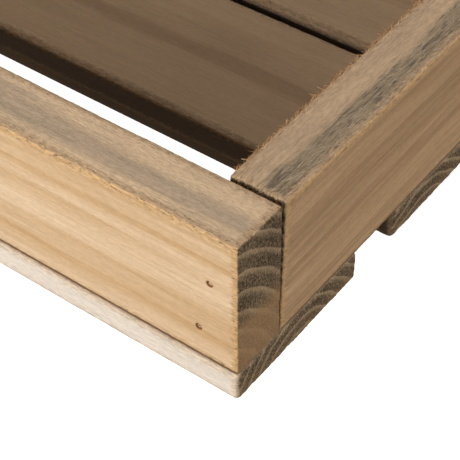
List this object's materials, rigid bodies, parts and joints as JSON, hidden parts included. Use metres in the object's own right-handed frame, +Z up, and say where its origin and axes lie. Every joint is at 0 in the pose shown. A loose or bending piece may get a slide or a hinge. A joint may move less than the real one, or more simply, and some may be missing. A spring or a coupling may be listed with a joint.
{
  "type": "wooden pull wagon",
  "caption": "Low slatted wooden pull wagon with a railed tray, steering front axle and a hinged wooden drawbar with a cross grip.",
  "frame": {"origin": "on the floor at the middle of the whole wagon with its drawbar lying down in front", "axes": "+Z up, -Y is the direction in which the wagon is pulled, +X is the wagon's left side"},
  "size_m": [0.44, 1.4646, 0.184],
  "materials": {
    "rail_pine": "rough-sawn softwood, weathered grey on top, honey coloured at the sides",
    "slat_pine": "rough-sawn softwood with eased edges, grey end grain",
    "truck_pine": "sawn softwood blocks under a black-brown stain, dull",
    "handle_ash": "planed hardwood, oiled, worn smooth by the hand",
    "wheel_beech": "turned hardwood, oiled",
    "tyre_rubber": "solid black rubber, dull",
    "bush_brass": "turned brass, dull",
    "zinc_steel": "zinc-plated steel, slightly dulled",
    "black_steel": "black powder coat",
    "nail_steel": "plain steel nails, browned by rust"
  },
  "bodies": {
    "tray": {"end_rail_front": "rail_pine", "end_rail_rear": "rail_pine", "side_rail_left": "rail_pine", "side_rail_right": "rail_pine", "slat_1": "slat_pine", "slat_2": "slat_pine", "slat_3": "slat_pine", "slat_4": "slat_pine", "slat_5": "slat_pine", "slat_6": "slat_pine", "slat_7": "slat_pine", "slat_8": "slat_pine", "slat_9": "slat_pine", "corner_nails": "nail_steel", "slat_nails": "nail_steel", "runner_left": "truck_pine", "runner_right": "truck_pine", "runner_screws": "zinc_steel", "bolster_front": "truck_pine", "bolster_rear": "truck_pine", "bolster_screws": "zinc_steel", "axle_block_rear": "truck_pine", "axle_block_rear_screws": "zinc_steel", "axle_rear": "zinc_steel", "axle_washers_rear": "zinc_steel", "axle_caps_rear": "zinc_steel", "turntable_plate": "black_steel", "turntable_plate_screws": "zinc_steel", "kingpin": "zinc_steel", "kingpin_nut": "zinc_steel"},
    "front_truck": {"axle_block_front": "truck_pine", "steering_arm": "black_steel", "steering_arm_screws": "zinc_steel", "axle_front": "zinc_steel", "axle_washers_front": "zinc_steel", "axle_caps_front": "zinc_steel", "drawbar_bolt": "zinc_steel", "drawbar_nut": "zinc_steel", "drawbar_washers": "zinc_steel"},
    "drawbar": {"drawbar_pole": "handle_ash", "drawbar_bush": "bush_brass", "grip_bar": "handle_ash", "grip_screw": "zinc_steel"},
    "front_left_wheel": {"wheel_front_left": "wheel_beech", "tyre_front_left": "tyre_rubber", "hub_bush_front_left": "bush_brass"},
    "front_right_wheel": {"wheel_front_right": "wheel_beech", "tyre_front_right": "tyre_rubber", "hub_bush_front_right": "bush_brass"},
    "rear_left_wheel": {"wheel_rear_left": "wheel_beech", "tyre_rear_left": "tyre_rubber", "hub_bush_rear_left": "bush_brass"},
    "rear_right_wheel": {"wheel_rear_right": "wheel_beech", "tyre_rear_right": "tyre_rubber", "hub_bush_rear_right": "bush_brass"}
  },
  "joints": [
    {"name": "steer", "type": "hinge", "parent": "tray", "child": "front_truck", "pos_m": [0, 0.14332, 0.0707], "axis": [0, 0, 1], "range_deg": [-30, 30]},
    {"name": "drawbar_lift", "type": "hinge", "parent": "front_truck", "child": "drawbar", "pos_m": [0, -0.09392, 0.04611], "axis": [-1, 0, 0], "range_deg": [0, 92.51]},
    {"name": "front_left_spin", "type": "hinge", "parent": "front_truck", "child": "front_left_wheel", "pos_m": [0.142, 0.14332, 0.05], "axis": [1, 0, 0], "continuous": true},
    {"name": "front_right_spin", "type": "hinge", "parent": "front_truck", "child": "front_right_wheel", "pos_m": [-0.142, 0.14332, 0.05], "axis": [1, 0, 0], "continuous": true},
    {"name": "rear_left_spin", "type": "hinge", "parent": "tray", "child": "rear_left_wheel", "pos_m": [0.142, 0.55332, 0.05], "axis": [1, 0, 0], "continuous": true},
    {"name": "rear_right_spin", "type": "hinge", "parent": "tray", "child": "rear_right_wheel", "pos_m": [-0.142, 0.55332, 0.05], "axis": [1, 0, 0], "continuous": true}
  ]
}
